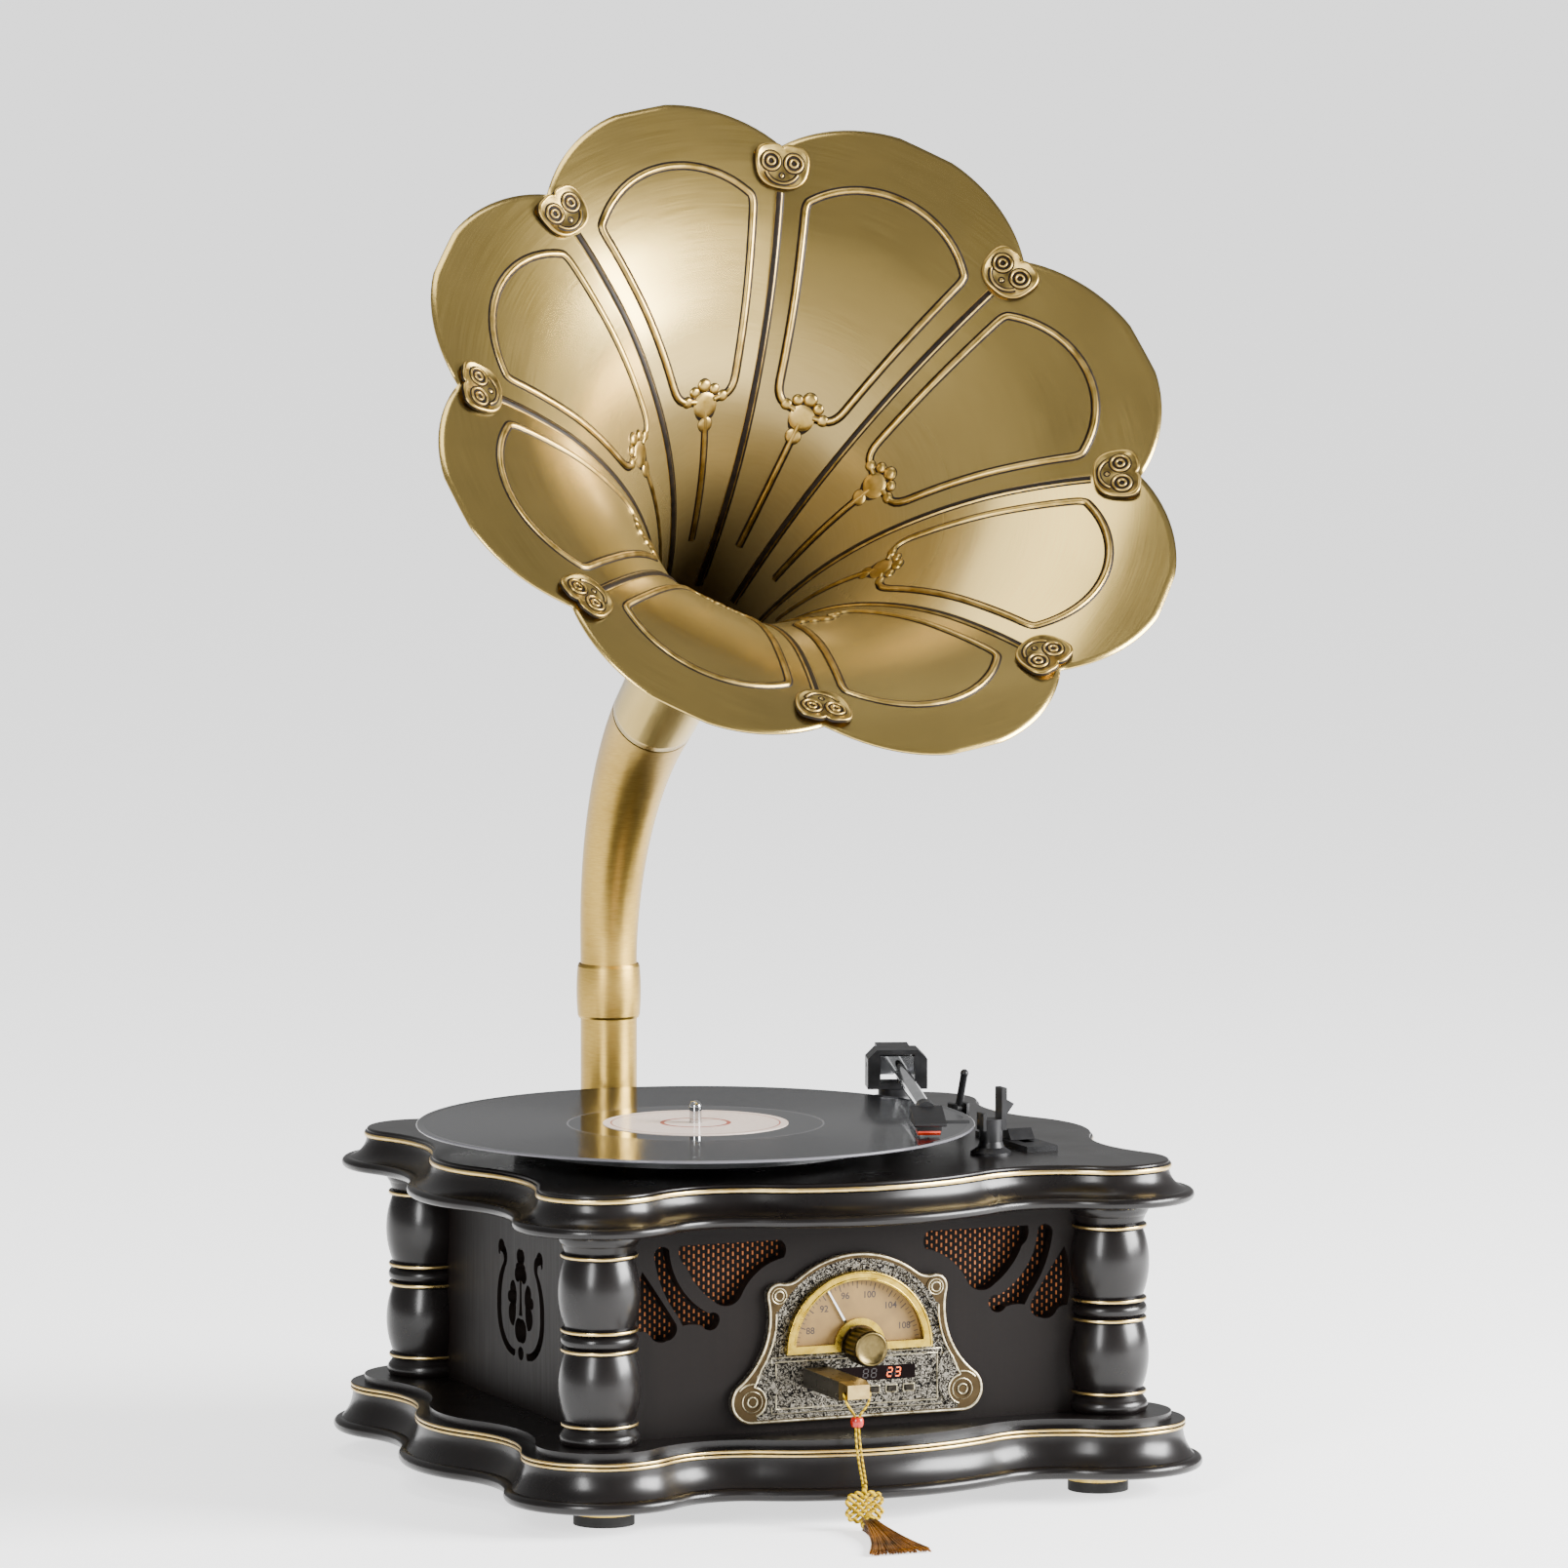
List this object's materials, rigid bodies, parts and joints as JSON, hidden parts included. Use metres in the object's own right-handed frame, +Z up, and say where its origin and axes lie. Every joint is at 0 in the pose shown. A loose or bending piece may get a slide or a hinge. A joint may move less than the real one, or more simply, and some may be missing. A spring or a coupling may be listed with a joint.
{
  "type": "horn gramophone",
  "caption": "Table-top record player and radio in a columned black case, with a brass petal horn on a bent neck, tonearm, dial faceplate and USB stick on a tassel.",
  "frame": {"origin": "on the surface it stands on, below the centre of the whole object's box; the case's own centre is 17.3 mm to the right and 31.3 mm to the back", "axes": "+Z up, -Y the front with the dial, +X to the right seen from the front"},
  "size_m": [0.4464, 0.4747, 0.7426],
  "materials": {
    "black_lacquer": "gloss lacquer with gilt lines",
    "dark_panel": "satin",
    "rubber": "matte",
    "gilt_brass": "satin",
    "antique_brass": "brushed and aged",
    "pewter": "aged pebbled casting",
    "cloth": "open weave with copper dots",
    "cream_card": "matte print",
    "cone_paper": "matte",
    "smoked_window": "gloss",
    "black_plastic": "matte",
    "red_plastic": "gloss",
    "chrome": "polished",
    "bronze_knob": "aged",
    "vinyl": "grooved gloss",
    "platter_cast": "satin",
    "steel": "plain",
    "board": "matte",
    "gold_plastic": "satin gold and black",
    "yellow_cord": "silk",
    "red_bead": "gloss",
    "brown_silk": "silk"
  },
  "bodies": {
    "cabinet": {"base_plate": "black_lacquer", "foot_pads": "rubber", "foot_rings": "gilt_brass", "columns_front": "black_lacquer", "columns_back": "black_lacquer", "front_panel": "dark_panel", "back_panel": "dark_panel", "left_panel": "dark_panel", "right_panel": "dark_panel", "deck": "black_lacquer", "grille_cloth": "cloth", "speaker_baskets": "steel", "speaker_cones": "cone_paper", "faceplate": "pewter", "faceplate_screws": "pewter", "dial_card": "cream_card", "dial_frame": "gilt_brass", "display_window": "smoked_window", "control_board": "board", "usb_socket": "steel", "bearing_housing": "steel", "motor": "steel", "drive_belt": "rubber", "arm_base": "black_plastic", "arm_rest": "black_plastic", "cue_post": "black_plastic", "speed_plate": "black_plastic", "lower_tube": "antique_brass", "transformer": "steel", "rear_sockets": "black_plastic"},
    "turntable": {"platter": "platter_cast", "slip_mat": "rubber", "record": "vinyl", "spindle": "chrome"},
    "motor_rotor": {"motor_pulley": "steel"},
    "arm_swing": {"arm_yoke": "black_plastic"},
    "arm": {"arm_tube": "chrome", "counterweight": "black_plastic", "headshell": "black_plastic", "cartridge": "black_plastic", "stylus": "red_plastic"},
    "cue": {"cue_lever": "black_plastic"},
    "speed": {"speed_slider": "black_plastic"},
    "tuning": {"tuning_knob": "bronze_knob", "dial_pointer": "chrome"},
    "key_1": {"button_1": "chrome"},
    "key_2": {"button_2": "chrome"},
    "key_3": {"button_3": "chrome"},
    "key_4": {"button_4": "chrome"},
    "stick": {"usb_stick": "gold_plastic", "lanyard_cord": "yellow_cord", "bead": "red_bead", "knot": "yellow_cord", "tassel": "brown_silk"},
    "horn": {"collar": "antique_brass", "neck": "antique_brass", "bell": "antique_brass", "petal_trim": "antique_brass", "throat_grille": "antique_brass", "medallions": "antique_brass"}
  },
  "joints": [
    {"name": "platter_spin", "type": "hinge", "parent": "cabinet", "child": "turntable", "pos_m": [-0.0307, 0.0113, 0.1925], "axis": [0, 0, 1], "continuous": true},
    {"name": "motor_spin", "type": "hinge", "parent": "cabinet", "child": "motor_rotor", "pos_m": [0.0353, -0.0337, 0.184], "axis": [0, 0, 1], "continuous": true},
    {"name": "arm_turn", "type": "hinge", "parent": "cabinet", "child": "arm_swing", "pos_m": [0.1303, 0.1133, 0.194], "axis": [0, 0, 1], "range_deg": [-22.8, 12.3]},
    {"name": "arm_lift", "type": "hinge", "parent": "arm_swing", "child": "arm", "pos_m": [0.1303, 0.1133, 0.207], "axis": [-0.9489, 0.3156, 0], "range_deg": [0, 6]},
    {"name": "cue_turn", "type": "hinge", "parent": "cabinet", "child": "cue", "pos_m": [0.1513, 0.0753, 0.186], "axis": [-1, 0, 0], "range_deg": [0, 45]},
    {"name": "speed_slide", "type": "slide", "parent": "cabinet", "child": "speed", "axis": [0, 1, 0], "range_m": [-0.012, 0.012]},
    {"name": "tuning_turn", "type": "hinge", "parent": "cabinet", "child": "tuning", "pos_m": [0.0173, -0.0957, 0.088], "axis": [0, 1, 0], "range_deg": [-45, 100]},
    {"name": "key_1_press", "type": "slide", "parent": "cabinet", "child": "key_1", "axis": [0, 1, 0], "range_m": [0, 0.0008], "stiffness_N_per_m": 300, "springref_m": -0.001},
    {"name": "key_2_press", "type": "slide", "parent": "cabinet", "child": "key_2", "axis": [0, 1, 0], "range_m": [0, 0.0008], "stiffness_N_per_m": 300, "springref_m": -0.001},
    {"name": "key_3_press", "type": "slide", "parent": "cabinet", "child": "key_3", "axis": [0, 1, 0], "range_m": [0, 0.0008], "stiffness_N_per_m": 300, "springref_m": -0.001},
    {"name": "key_4_press", "type": "slide", "parent": "cabinet", "child": "key_4", "axis": [0, 1, 0], "range_m": [0, 0.0008], "stiffness_N_per_m": 300, "springref_m": -0.001},
    {"name": "stick_pull", "type": "slide", "parent": "cabinet", "child": "stick", "axis": [0, -1, 0], "range_m": [0, 0.03]},
    {"name": "horn_swivel", "type": "hinge", "parent": "cabinet", "child": "horn", "pos_m": [-0.0127, 0.1833, 0.232], "axis": [0, 0, 1], "continuous": true}
  ],
  "couplings": [
    {"joint": "motor_spin", "follows": "platter_spin", "ratio": 9.3333},
    {"joint": "arm_lift", "follows": "cue_turn", "ratio": 0.13333}
  ]
}
